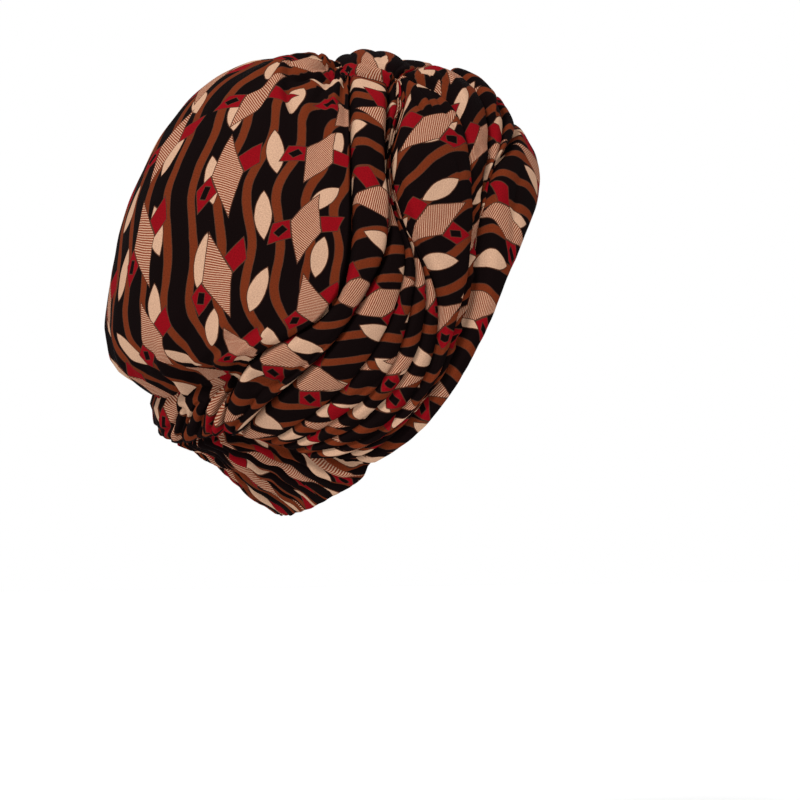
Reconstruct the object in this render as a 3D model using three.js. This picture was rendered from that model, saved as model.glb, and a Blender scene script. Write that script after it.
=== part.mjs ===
// Turban headwrap: a full gathered crown, pleated wraps fanning from a twist on top,
// a pleated brow band, a gathered roll behind and a ruffled nape band.
// Millimetres, +Z up, the face looks along -Y and the wearer's right is -X.
import * as THREE from "three";

// Reach of the cloth from the middle of the head form.
const frontReach = 128;
const backReach = 117;
const topReach = 113;
const lowReach = 150;
const halfWidth = 78;

// Where the seat on top of the head lies from the middle of the form.
const seatAhead = 25;
const seatAbove = 103.5;

// Cloth and relief.
const clothWall = 2.2;
const pieceGap = 0.3;
const creaseDip = 2.2;
const wrapRelief = 6;
const browRelief = 6.5;
const twistDip = 4;
const twistRelief = 9;
const bagRelief = 4;
const tuckDip = 6.5;
const rollRelief = 8;
const ruffleRelief = 2.4;
const bandClearance = 0.9;
const bandOverlap = 3;
const bandRise = 5;

// How square the form is from side to side: 2 is an ellipse.
const squareness = 2.15;

// Grid counts.
const wrapRows = 20;
const crownRows = 17;
const crownColumns = 16;
const crownGathers = 5;
const rollKnuckles = 7;
const bandRuffles = 24;
const bandColumnsPerRuffle = 4;

// Profile of the form in its middle plane: angle round the ear line from the face, over the top,
// and the reach there as a share of the ellipse through the four named reaches.
const profileRows = [
  { around: 0, share: 1.0 },
  { around: 24, share: 0.875 },
  { around: 38, share: 0.9 },
  { around: 55, share: 1.0 },
  { around: 75, share: 1.018 },
  { around: 95, share: 1.012 },
  { around: 114, share: 1.055 },
  { around: 128, share: 1.05 },
  { around: 150, share: 1.002 },
  { around: 174, share: 0.985 },
  { around: 190, share: 1.015 },
  { around: 204, share: 0.995 },
  { around: 222, share: 0.89 },
  { around: 238, share: 0.81 },
  { around: 252, share: 0.82 },
  { around: 270, share: 0.98 },
  { around: 300, share: 1.04 },
  { around: 330, share: 1.11 },
  { around: 348, share: 1.07 },
];

// Creases as places on the form: turn from the face toward the wearer's right, and rise.
const crownSeam = [
  { turn: 93.5, rise: 76.5 },
  { turn: 95, rise: 62 },
  { turn: 95, rise: 40 },
  { turn: 95, rise: 17.5 },
  { turn: 98, rise: 1 },
  { turn: 105, rise: -9.5 },
  { turn: 116, rise: -16 },
  { turn: 128, rise: -21 },
  { turn: 138, rise: -31 },
  { turn: 147, rise: -42 },
];
const rearCrease = [
  { turn: 62, rise: 69.5 },
  { turn: 76.5, rise: 55.5 },
  { turn: 80.5, rise: 42 },
  { turn: 80.5, rise: 27.5 },
  { turn: 83, rise: 12.5 },
  { turn: 91.5, rise: -4.5 },
  { turn: 101.5, rise: -18.5 },
  { turn: 116, rise: -30 },
  { turn: 130.5, rise: -38 },
  { turn: 143, rise: -44.5 },
];
const middleCrease = [
  { turn: 59.5, rise: 69.5 },
  { turn: 69, rise: 54.5 },
  { turn: 74, rise: 39.5 },
  { turn: 73.5, rise: 23.5 },
  { turn: 75, rise: 10 },
  { turn: 79.5, rise: -7 },
  { turn: 88, rise: -23 },
  { turn: 100.5, rise: -35.5 },
  { turn: 117.5, rise: -44 },
  { turn: 133.5, rise: -48 },
];
const earCrease = [
  { turn: 57, rise: 69 },
  { turn: 60.5, rise: 56 },
  { turn: 63.5, rise: 44.5 },
  { turn: 65.5, rise: 31 },
  { turn: 66, rise: 14.5 },
  { turn: 66, rise: -2.5 },
  { turn: 68, rise: -19.5 },
  { turn: 75.5, rise: -35.5 },
  { turn: 92, rise: -46 },
  { turn: 119, rise: -52 },
];
const templeCrease = [
  { turn: 53, rise: 68.5 },
  { turn: 46.5, rise: 59.5 },
  { turn: 44.5, rise: 51.5 },
  { turn: 46, rise: 42.5 },
  { turn: 48.5, rise: 31.5 },
  { turn: 51.5, rise: 18.5 },
  { turn: 55.5, rise: 4 },
  { turn: 60.5, rise: -12.5 },
  { turn: 66.5, rise: -30 },
  { turn: 79, rise: -42 },
  { turn: 93, rise: -48.5 },
  { turn: 106, rise: -52 },
];
const browCrease = [
  { turn: 0, rise: 64.5 },
  { turn: 14, rise: 60 },
  { turn: 27.5, rise: 49 },
  { turn: 37.5, rise: 37.5 },
  { turn: 44.5, rise: 25 },
  { turn: 49.5, rise: 11.5 },
  { turn: 53.5, rise: -4 },
  { turn: 58, rise: -17 },
  { turn: 64.5, rise: -29.5 },
  { turn: 73.5, rise: -40.5 },
  { turn: 85, rise: -48 },
  { turn: 97, rise: -51.5 },
];
const frontHem = [
  { turn: 0, rise: 31 },
  { turn: 12, rise: 27.5 },
  { turn: 22, rise: 22 },
  { turn: 31.5, rise: 15.5 },
  { turn: 41.5, rise: 3 },
  { turn: 48, rise: -10.5 },
  { turn: 53.5, rise: -23 },
  { turn: 58.5, rise: -33 },
  { turn: 66, rise: -41.5 },
  { turn: 75, rise: -48 },
  { turn: 86, rise: -53 },
];

// Lower edge of the bag at the back, and the two edges of the nape band.
const bagTuckRise = -28.5;
const rollFoot = { turn: 180, rise: -40 };
const bandTop = [
  { turn: 130, rise: -43.5 },
  { turn: 147, rise: -39.5 },
  { turn: 163, rise: -38.5 },
  { turn: 180, rise: -38 },
];
const bandHem = [
  { turn: 90, rise: -52 },
  { turn: 105, rise: -61.5 },
  { turn: 126.5, rise: -68 },
  { turn: 150, rise: -71.5 },
  { turn: 180, rise: -72 },
];

// The valley between the two rolls of the twist: angle to the side and angle round the ear line.
const twistValley = [
  { side: 17, around: 79 },
  { side: 9, around: 72.5 },
  { side: 0, around: 76 },
  { side: -9, around: 80 },
  { side: -17, around: 79 },
];

// Pleats across each wrap: the share of the relief, and where the top of the pleat leans.
const rearPleats = [{ height: 1, lean: 0.8 }];
const frontPleats = [
  { height: 0.9, lean: 0.8 },
  { height: 0.75, lean: 0.9 },
  { height: 1, lean: 0.8 },
  { height: 0.9, lean: 0.75 },
];
const browPleats = [
  { edge: 0.38, height: 0.95, lean: 0.8 },
  { edge: 0.68, height: 0.8, lean: 0.85 },
  { edge: 1, height: 1, lean: 0.8 },
];

// Course of a wrap from the twist to the nape: level as a share of the dip at the twist,
// relief as a share of the pleats' full height.
const wrapCourse = [
  { at: 0, level: -1, relief: 0.35 },
  { at: 0.08, level: -0.35, relief: 0.7 },
  { at: 0.2, level: 0, relief: 1 },
  { at: 0.75, level: 0, relief: 1 },
  { at: 1, level: 0.2, relief: 0.4 },
];
const browCourse = [
  { at: 0, level: 0, relief: 1 },
  { at: 0.35, level: 0, relief: 0.9 },
  { at: 0.8, level: 0, relief: 0.6 },
  { at: 1, level: 0.2, relief: 0.3 },
];
// Course of the bag from the twist down to its tuck: level as a share of the dip there.
const bagCourse = [
  { at: 0, level: -0.6, relief: 1 },
  { at: 0.1, level: 0, relief: 0.8 },
  { at: 0.3, level: 0.2, relief: 0.35 },
  { at: 0.7, level: 0.2, relief: 0.35 },
  { at: 0.9, level: 0.35, relief: 0.7 },
  { at: 0.96, level: -0.2, relief: 1 },
  { at: 1, level: -1, relief: 0.6 },
];
// Section of the roll from the tuck to the nape band.
const rollSection = [
  { at: 0, sink: 1, outer: 0, inner: 0 },
  { at: 1 / 6, sink: 0.5, outer: 0.3, inner: 0.05 },
  { at: 1 / 3, sink: 0.1, outer: 0.45, inner: 0.1 },
  { at: 2 / 3, sink: 0, outer: 0.5, inner: 0.1 },
  { at: 5 / 6, sink: 0, outer: 0.38, inner: 0.05 },
  { at: 1, sink: 0, outer: 0.05, inner: 0 },
];
// Section of the nape band from its hidden top edge to the hem.
const bandSection = [
  { at: 0, level: 0, ruffle: 0 },
  { at: 0.14, level: 0, ruffle: 0.4 },
  { at: 0.3, level: -0.1, ruffle: 0.9 },
  { at: 0.65, level: 0.1, ruffle: 1 },
  { at: 1, level: -0.1, ruffle: 0.8 },
];

// Turban cloth colours.
const clothBrown = 0x7a4634;
const clothBeige = 0xd6ac94;
const clothDark = 0x2a1512;

const toRadians = THREE.MathUtils.degToRad;
const toDegrees = THREE.MathUtils.radToDeg;
const formCentre = new THREE.Vector3(0, seatAhead, -seatAbove);

// Reads one column of a table at a place, straight between its rows.
function readTable(rows, column, at, key = "at") {
  const next = rows.findIndex((row) => row[key] >= at);
  if (next <= 0) return rows[next < 0 ? rows.length - 1 : 0][column];
  const before = rows[next - 1];
  const share = (at - before[key]) / (rows[next][key] - before[key]);
  return before[column] + share * (rows[next][column] - before[column]);
}

// Smooth closed profile: the share of the ellipse at an angle, on a curve through the rows.
const profileCurve = new THREE.CatmullRomCurve3(
  profileRows.map((row) => {
    const angle = toRadians(row.around);
    return new THREE.Vector3(Math.cos(angle), Math.sin(angle), 0).multiplyScalar(row.share);
  }),
  true,
  "centripetal",
);
const profileSteps = 720;
const profileShares = profileCurve
  .getSpacedPoints(profileSteps)
  .map((point) => ({
    around: (toDegrees(Math.atan2(point.y, point.x)) + 360) % 360,
    share: point.length(),
  }))
  .sort((a, b) => a.around - b.around);

// Reach of the form along a unit direction: a rounded section whose profile is the table above.
function reach(direction) {
  const inPlane = Math.hypot(direction.y, direction.z);
  const forward = -direction.y / inPlane;
  const upward = direction.z / inPlane;
  const ellipse = 1 / Math.hypot(
    forward / (forward > 0 ? frontReach : backReach),
    upward / (upward > 0 ? topReach : lowReach),
  );
  const around = (toDegrees(Math.atan2(upward, forward)) + 360) % 360;
  const profile = ellipse * readTable(profileShares, "share", around, "around");
  const middle = (inPlane / profile) ** squareness;
  const side = (Math.abs(direction.x) / halfWidth) ** squareness;
  return (middle + side) ** (-1 / squareness);
}

function direction({ turn, rise }) {
  const level = Math.cos(toRadians(rise));
  return new THREE.Vector3(
    -level * Math.sin(toRadians(turn)),
    -level * Math.cos(toRadians(turn)),
    Math.sin(toRadians(rise)),
  );
}

// Turn and rise of a direction, with the left side folded onto the right.
function placeOf(point) {
  return {
    turn: toDegrees(Math.atan2(Math.abs(point.x), -point.y)),
    rise: toDegrees(Math.asin(point.z)),
  };
}

function overTop({ side, around }) {
  const level = Math.cos(toRadians(side));
  return new THREE.Vector3(
    -Math.sin(toRadians(side)),
    -level * Math.cos(toRadians(around)),
    level * Math.sin(toRadians(around)),
  );
}

const mirrored = (vector) => new THREE.Vector3(-vector.x, vector.y, vector.z);

// Evenly spaced unit directions along a smooth curve through chosen directions.
function rail(points, steps) {
  const curve = new THREE.CatmullRomCurve3(points, false, "centripetal");
  return curve.getSpacedPoints(steps).map((point) => point.normalize());
}

function between(from, to, share) {
  const angle = from.angleTo(to);
  if (angle < 1e-6) return from.clone();
  const start = from.clone().multiplyScalar(Math.sin((1 - share) * angle));
  const end = to.clone().multiplyScalar(Math.sin(share * angle));
  return start.add(end).divideScalar(Math.sin(angle)).normalize();
}

// Moves a direction toward another by a length on the form.
function inset(from, toward, length) {
  const angle = from.angleTo(toward);
  return between(from, toward, Math.min(0.3, length / reach(from) / Math.max(angle, 1e-6)));
}

// Keeps half a gap clear along every edge of a grid of directions.
function insetGrid(grid) {
  const last = grid.length - 1;
  const side = grid[0].length - 1;
  const ended = grid.map((row, r) => {
    if (r === 0) return row.map((point, c) => inset(point, grid[1][c], pieceGap));
    if (r === last) return row.map((point, c) => inset(point, grid[last - 1][c], pieceGap));
    return row;
  });
  return ended.map((row) =>
    row.map((point, c) => {
      if (c === 0) return inset(point, row[1], pieceGap / 2);
      if (c === side) return inset(point, row[side - 1], pieceGap / 2);
      return point;
    }),
  );
}

// One closed wall: an outer and an inner surface over the same grid, joined round their edges.
function closedWall(grid, outerLift, innerLift) {
  const rows = grid.length;
  const columns = grid[0].length;
  const positions = [];
  for (const lift of [outerLift, innerLift]) {
    grid.forEach((row, r) =>
      row.forEach((point, c) => {
        const place = point.clone().multiplyScalar(reach(point) + lift(r, c)).add(formCentre);
        positions.push(place.x, place.y, place.z);
      }),
    );
  }
  const outer = (r, c) => r * columns + c;
  const inner = (r, c) => rows * columns + r * columns + c;
  const faces = [];
  const quad = (a, b, c, d) => faces.push(a, b, c, a, c, d);
  for (let r = 0; r < rows - 1; r += 1) {
    for (let c = 0; c < columns - 1; c += 1) {
      quad(outer(r, c), outer(r, c + 1), outer(r + 1, c + 1), outer(r + 1, c));
      quad(inner(r, c), inner(r + 1, c), inner(r + 1, c + 1), inner(r, c + 1));
    }
    quad(outer(r, 0), outer(r + 1, 0), inner(r + 1, 0), inner(r, 0));
    const edge = columns - 1;
    quad(outer(r, edge), inner(r, edge), inner(r + 1, edge), outer(r + 1, edge));
  }
  for (let c = 0; c < columns - 1; c += 1) {
    quad(outer(0, c), inner(0, c), inner(0, c + 1), outer(0, c + 1));
    const edge = rows - 1;
    quad(outer(edge, c), outer(edge, c + 1), inner(edge, c + 1), inner(edge, c));
  }
  if (enclosedVolume(positions, faces) < 0) faces.reverse();
  const geometry = new THREE.BufferGeometry();
  geometry.setAttribute("position", new THREE.Float32BufferAttribute(positions, 3));
  geometry.setIndex(faces);
  geometry.computeVertexNormals();
  return geometry;
}

function enclosedVolume(positions, faces) {
  const corner = (i) => new THREE.Vector3().fromArray(positions, 3 * faces[i]);
  let volume = 0;
  for (let i = 0; i < faces.length; i += 3) {
    volume += corner(i).dot(corner(i + 1).cross(corner(i + 2))) / 6;
  }
  return volume;
}

// Places across one pleat, and its height there: a rounded top between two sharp creases.
const pleatSamples = [0, 0.12, 0.4, 0.72];
const pleatHeight = (across, lean) => Math.sin(Math.PI * across ** lean) ** 0.75;

// Grid across a run of pleats between neighbouring rails, with each column's share of relief.
function pleatedGrid(rails, pleats) {
  const columns = [];
  pleats.forEach((pleat, i) => {
    for (const across of pleatSamples) {
      columns.push({ i, across, height: pleat.height * pleatHeight(across, pleat.lean) });
    }
  });
  columns.push({ i: pleats.length - 1, across: 1, height: 0 });
  const grid = rails[0].map((_, r) =>
    columns.map((column) => between(rails[column.i][r], rails[column.i + 1][r], column.across)),
  );
  return { grid: insetGrid(grid), columns };
}

function pleatedWrap(rails, pleats, course, relief, alongOf) {
  const { grid, columns } = pleatedGrid(rails, pleats);
  const lift = (r, c) => {
    const at = alongOf(r);
    const height = columns[c].height * relief - creaseDip;
    return readTable(course, "level", at) * twistDip + readTable(course, "relief", at) * height;
  };
  return closedWall(grid, lift, (r, c) => lift(r, c) - clothWall);
}

// A rail that crosses the middle plane, from the left nape tip over the brow to the right one.
function crossingRail(rows) {
  const right = rows.map(direction);
  return rail([...right.slice(1).reverse().map(mirrored), ...right], 2 * wrapRows);
}

const browRail = crossingRail(browCrease);
const hemRail = crossingRail(frontHem);
const wrapRails = [rearCrease, middleCrease, earCrease, templeCrease].map((rows) =>
  rail(rows.map(direction), wrapRows),
);
wrapRails.push(browRail.slice(wrapRows));
const seamRail = rail(crownSeam.map(direction), wrapRows);
const alongWrap = (r) => r / wrapRows;

const turnedRail = (points) => points.map(mirrored);
const frontWrapGeometry = (rails) =>
  pleatedWrap(rails, frontPleats, wrapCourse, wrapRelief, alongWrap);
const rearWrapGeometry = (rails) =>
  pleatedWrap(rails, rearPleats, wrapCourse, wrapRelief, alongWrap);

// The brow band runs from nape tip to nape tip over the brow.
function browBandGeometry() {
  const rails = [browRail];
  browPleats.forEach((pleat) =>
    rails.push(browRail.map((point, r) => between(point, hemRail[r], pleat.edge))),
  );
  const alongBand = (r) => Math.abs(r - wrapRows) / wrapRows;
  return pleatedWrap(rails, browPleats, browCourse, browRelief, alongBand);
}

// A row of directions from the right crown seam over the middle of the back to the left one.
function acrossBack(middle, seam) {
  const row = [];
  for (let c = -crownColumns; c <= crownColumns; c += 1) {
    row.push(between(middle, c < 0 ? seam : mirrored(seam), Math.abs(c) / crownColumns));
  }
  return row;
}

// The bag: gathers run from the twist down the back, between the two crown seams.
const crownFirst = { turn: 180, rise: 87 };
function crownGrid() {
  const back = rail(
    [crownFirst, { turn: 180, rise: 60 }, { turn: 180, rise: 15 }, { turn: 180, rise: bagTuckRise }]
      .map(direction),
    crownRows,
  );
  return back.map((middle, r) => acrossBack(middle, seamRail[r]));
}

function crownGeometry() {
  const lift = (r, c) => {
    const at = r / crownRows;
    const across = Math.abs(c - crownColumns) / crownColumns;
    const gather = Math.cos(2 * Math.PI * crownGathers * across);
    const level = readTable(bagCourse, "level", at) * tuckDip;
    const relief = readTable(bagCourse, "relief", at) * bagRelief * 0.5;
    const edge = Math.min(1, (1 - across) * 4);
    return level * (0.4 + 0.6 * edge) + relief * gather * edge - creaseDip * (1 - edge);
  };
  return closedWall(insetGrid(crownGrid()), lift, (r, c) => lift(r, c) - clothWall);
}

// The roll: knuckled folds between the bag's tuck and the nape band.
function rearRollGeometry() {
  const tuck = direction({ turn: 180, rise: bagTuckRise });
  const foot = direction(rollFoot);
  const grid = rollSection.map(({ at }) => {
    const row = at * (wrapRows - crownRows);
    const before = Math.min(Math.floor(row), wrapRows - crownRows - 1);
    const seam = between(
      seamRail[crownRows + before],
      seamRail[crownRows + before + 1],
      row - before,
    );
    return acrossBack(between(tuck, foot, at), seam);
  });
  const lift = (r, c, side) => {
    const across = Math.abs(c - crownColumns) / crownColumns;
    const knuckle = Math.abs(Math.cos(Math.PI * rollKnuckles * 0.5 * across));
    const bulge = rollSection[r][side] * rollRelief * (side === "outer" ? 0.7 + 0.3 * knuckle : 1);
    return bulge - rollSection[r].sink * tuckDip;
  };
  return closedWall(
    insetGrid(grid),
    (r, c) => lift(r, c, "outer"),
    (r, c) => lift(r, c, "inner") - clothWall,
  );
}

// The line where the wraps and the roll end over the nape band, from the nape tip to the back.
const wrapEnds = [
  ...[frontHem, browCrease, templeCrease, earCrease, middleCrease, rearCrease, crownSeam].map(
    (rows) => rows.at(-1),
  ),
  placeOf(between(direction(crownSeam.at(-1)), direction(rollFoot), 0.5)),
  rollFoot,
];

// How far a place lies below that line, past the overlap, along the form.
function belowWraps(point) {
  const { turn, rise } = placeOf(point);
  const drop = toRadians(readTable(wrapEnds, "rise", turn, "turn") - rise);
  return drop * reach(point) - bandOverlap;
}

// The nape band: long ruffles between its hidden top edge and the hem.
function napeBandGeometry() {
  const half = (bandRuffles * bandColumnsPerRuffle) / 2;
  const wholeEdge = (rows) => {
    const right = rail(rows.map(direction), half);
    return [...right, ...right.slice(0, -1).reverse().map(mirrored)];
  };
  const top = wholeEdge(bandTop);
  const hem = wholeEdge(bandHem);
  const hiddenLevel = clothWall + bandClearance;
  const grid = bandSection.map((section) =>
    top.map((point, c) => between(point, hem[c], section.at)),
  );
  const lift = (r, c) => {
    const shown = THREE.MathUtils.clamp(belowWraps(grid[r][c]) / bandRise, 0, 1);
    const ruffle = Math.cos((2 * Math.PI * c) / bandColumnsPerRuffle) * ruffleRelief * 0.5;
    const level = shown * bandSection[r].level - (1 - shown);
    return level * hiddenLevel + shown * bandSection[r].ruffle * ruffle;
  };
  return closedWall(grid, lift, (r, c) => lift(r, c) - clothWall);
}

// Evenly split straight chords from corner to corner.
function chords(corners, steps) {
  const each = steps / (corners.length - 1);
  return Array.from({ length: steps + 1 }, (_, i) => {
    const leg = Math.min(Math.floor(i / each), corners.length - 2);
    return between(corners[leg], corners[leg + 1], i / each - leg);
  });
}

// Each roll of the twist lies between the valley and the ring of cloth round the twist.
const twistSteps = 16;
function twistRollGeometry(outerEdge, fullness) {
  const valley = rail(twistValley.map(overTop), twistSteps);
  const edge = chords(outerEdge, twistSteps);
  const across = [0, 0.1, 0.3, 0.55, 0.8, 0.92, 1];
  const grid = insetGrid(
    edge.map((point, r) => across.map((share) => between(valley[r], point, share))),
  );
  const lift = (r, c) => {
    const swell = Math.sin(Math.PI * (0.12 + (0.76 * r) / twistSteps)) ** 0.6;
    return twistRelief * fullness * swell * Math.sin(Math.PI * across[c]) ** 0.6 - twistDip;
  };
  return closedWall(grid, lift, () => -twistDip - clothWall);
}

const hub = wrapRails[0][0];
const hubFront = wrapRails[3][0];
const rearEdge = [
  hub,
  seamRail[0],
  direction(crownFirst),
  mirrored(seamRail[0]),
  mirrored(hub),
];
const browMiddle = wrapRails[4][0];
const frontEdge = [hubFront, browMiddle, mirrored(hubFront)];

const root = new THREE.Group();

function addPiece(name, geometry, color) {
  const material = new THREE.MeshStandardMaterial({ color, roughness: 0.9, metalness: 0 });
  const mesh = new THREE.Mesh(geometry, material);
  mesh.name = name;
  root.add(mesh);
}

const rearRails = [seamRail, wrapRails[0]];
addPiece("crown", crownGeometry(), clothBrown);
addPiece("rear_roll", rearRollGeometry(), clothDark);
addPiece("nape_band", napeBandGeometry(), clothBeige);
addPiece("rear_wrap_right", rearWrapGeometry(rearRails), clothBeige);
addPiece("rear_wrap_left", rearWrapGeometry(rearRails.map(turnedRail)), clothBeige);
addPiece("front_wrap_right", frontWrapGeometry(wrapRails), clothBrown);
addPiece("front_wrap_left", frontWrapGeometry(wrapRails.map(turnedRail)), clothBrown);
addPiece("brow_band", browBandGeometry(), clothDark);
addPiece("twist_roll_front", twistRollGeometry(frontEdge, 0.8), clothBeige);
addPiece("twist_roll_rear", twistRollGeometry(rearEdge, 1), clothBrown);

export default root;
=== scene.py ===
import math

import bpy
import numpy as np
from mathutils import Matrix, Vector


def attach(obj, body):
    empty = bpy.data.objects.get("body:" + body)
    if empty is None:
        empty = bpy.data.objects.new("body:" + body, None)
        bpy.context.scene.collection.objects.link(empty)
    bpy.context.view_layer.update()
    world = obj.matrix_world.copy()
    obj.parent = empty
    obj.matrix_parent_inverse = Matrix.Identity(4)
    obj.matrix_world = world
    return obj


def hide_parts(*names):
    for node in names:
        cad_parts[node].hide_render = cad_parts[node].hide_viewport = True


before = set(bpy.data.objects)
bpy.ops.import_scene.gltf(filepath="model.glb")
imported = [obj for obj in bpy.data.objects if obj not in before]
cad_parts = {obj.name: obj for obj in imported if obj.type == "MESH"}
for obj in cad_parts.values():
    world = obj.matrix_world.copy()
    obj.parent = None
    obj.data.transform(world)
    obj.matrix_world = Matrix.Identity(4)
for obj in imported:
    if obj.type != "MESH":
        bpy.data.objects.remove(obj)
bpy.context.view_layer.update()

# Shapes are worked out in millimetres and written to the meshes in metres.
metre = 0.001
wallThickness = 1.8
underlap = 5.0     # how far cloth goes on, out of sight, under the piece that lies over its edge
meanReach = 112.0     # from the middle of the head form to its surface, for turning lengths into angles
rng = np.random.default_rng(11)

# The head form that every cloth piece lies on, as in the CAD: reach to each side from its middle.
form = {
    "front": 128.0, "back": 117.0, "top": 113.0, "low": 150.0, "halfWidth": 78.0,
    "squareness": 2.15, "middle": (0.0, 25.0, -103.5),
}
# Angle round the ear line from the face over the top, and reach there as a share of the ellipse.
profileRows = [
    (0, 1.0), (24, 0.875), (38, 0.9), (55, 1.0), (75, 1.018), (95, 1.012), (114, 1.055),
    (128, 1.05), (150, 1.002), (174, 0.985), (190, 1.015), (204, 0.995), (222, 0.89),
    (238, 0.81), (252, 0.82), (270, 0.98), (300, 1.04), (330, 1.11), (348, 1.07),
]


# Points evenly spaced by length along a centripetal Catmull-Rom curve through the given points.
def curveThrough(points, count, closed=False):
    points = np.asarray(points, float)
    if closed:
        padded = np.vstack([points[-1:], points, points[:2]])
    else:
        padded = np.vstack([2 * points[0] - points[1], points, 2 * points[-1] - points[-2]])
    p0, p1, p2, p3 = padded[:-3], padded[1:-2], padded[2:-1], padded[3:]
    # Knot gaps are the square root of the distance between points.
    gap0, gap1, gap2 = (
        np.sqrt(np.linalg.norm(b - a, axis=1))[:, None, None]
        for a, b in ((p0, p1), (p1, p2), (p2, p3))
    )
    p0, p1, p2, p3 = (p[:, None, :] for p in (p0, p1, p2, p3))
    start = gap1 * ((p1 - p0) / gap0 - (p2 - p0) / (gap0 + gap1) + (p2 - p1) / gap1)
    end = gap1 * ((p2 - p1) / gap1 - (p3 - p1) / (gap1 + gap2) + (p3 - p2) / gap2)
    t = np.linspace(0, 1, 60, endpoint=False)[None, :, None]
    fine = (
        (2 * t**3 - 3 * t**2 + 1) * p1 + (t**3 - 2 * t**2 + t) * start
        + (3 * t**2 - 2 * t**3) * p2 + (t**3 - t**2) * end
    ).reshape(-1, points.shape[1])
    fine = np.vstack([fine, points[0] if closed else points[-1]])
    length = np.concatenate([[0], np.cumsum(np.linalg.norm(np.diff(fine, axis=0), axis=1))])
    wanted = np.linspace(0, length[-1], count)
    return np.stack([np.interp(wanted, length, column) for column in fine.T], axis=1)


# Angles in degrees and reach shares of a closed smooth curve through the rows of profileRows.
def profileShares():
    angles = np.radians([row[0] for row in profileRows])
    shares = np.array([row[1] for row in profileRows])
    loop = curveThrough(np.stack([np.cos(angles), np.sin(angles)], 1) * shares[:, None], 1441, True)
    around = np.degrees(np.arctan2(loop[:, 1], loop[:, 0])) % 360
    order = np.argsort(around)
    return around[order], np.hypot(loop[:, 0], loop[:, 1])[order]


profileAngles, profileReach = profileShares()


# Each vector divided by its length.
def unit(vectors):
    return vectors / np.linalg.norm(vectors, axis=-1, keepdims=True)


# Reach of the form along unit directions: (inPlane/profile)^p + (side/halfWidth)^p = 1 / reach^p.
def reachOf(directions):
    inPlane = np.hypot(directions[..., 1], directions[..., 2])
    forward = -directions[..., 1] / inPlane
    upward = directions[..., 2] / inPlane
    ellipse = 1 / np.hypot(
        forward / np.where(forward > 0, form["front"], form["back"]),
        upward / np.where(upward > 0, form["top"], form["low"]),
    )
    around = np.degrees(np.arctan2(upward, forward)) % 360
    profile = ellipse * np.interp(around, profileAngles, profileReach, period=360)
    p = form["squareness"]
    return ((inPlane / profile) ** p + (np.abs(directions[..., 0]) / form["halfWidth"]) ** p) ** (-1 / p)


# Unit direction of a turn from the face toward the wearer's right and a rise, in degrees.
def directionOf(rows):
    rows = np.asarray(rows, float)
    turn = np.radians(rows[..., 0])
    rise = np.radians(rows[..., 1])
    level = np.cos(rise)
    return np.stack([-level * np.sin(turn), -level * np.cos(turn), np.sin(rise)], axis=-1)


# The same directions on the wearer's other side: x changes its sign.
def mirrored(directions):
    return directions * np.array([-1.0, 1.0, 1.0])


# Directions evenly spaced along a smooth curve through a few.
def rail(directions, count):
    return unit(curveThrough(directions, count))


# Great-circle blend: (sin((1 - share) * angle) * start + sin(share * angle) * end) / sin(angle).
def between(start, end, share):
    share = np.asarray(share)[..., None]
    angle = np.arccos(np.clip(np.sum(start * end, -1, keepdims=True), -1, 1))
    angle = np.maximum(angle, 1e-6)
    return unit((np.sin((1 - share) * angle) * start + np.sin(share * angle) * end) / np.sin(angle))


# Places on the form: middle + direction * (reach of the form + lift).
def onForm(directions, lift):
    return directions * (reachOf(directions) + lift)[..., None] + np.array(form["middle"])


# Straight reading of table columns: rows of (at, value, value...) at the places asked for.
def readTable(rows, at, column=1):
    rows = np.asarray(rows, float)
    return np.interp(at, rows[:, 0], rows[:, column])


# From 0 at low to 1 at high: t * t * (3 - 2 * t).
def smoothStep(low, high, value):
    t = np.clip((value - low) / (high - low), 0, 1)
    return t * t * (3 - 2 * t)


# Gentle unevenness: a sum of seeded sine waves through space, of the given wavelength, about -1 to 1.
def waves(places, wavelength, count=7):
    ways = unit(rng.normal(size=(count, 3))) * rng.uniform(0.7, 1.4, (count, 1))
    ways = ways * 2 * math.pi / wavelength
    starts = rng.uniform(0, 2 * math.pi, count)
    return np.sin(places @ ways.T + starts).sum(-1) / math.sqrt(count)


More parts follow.
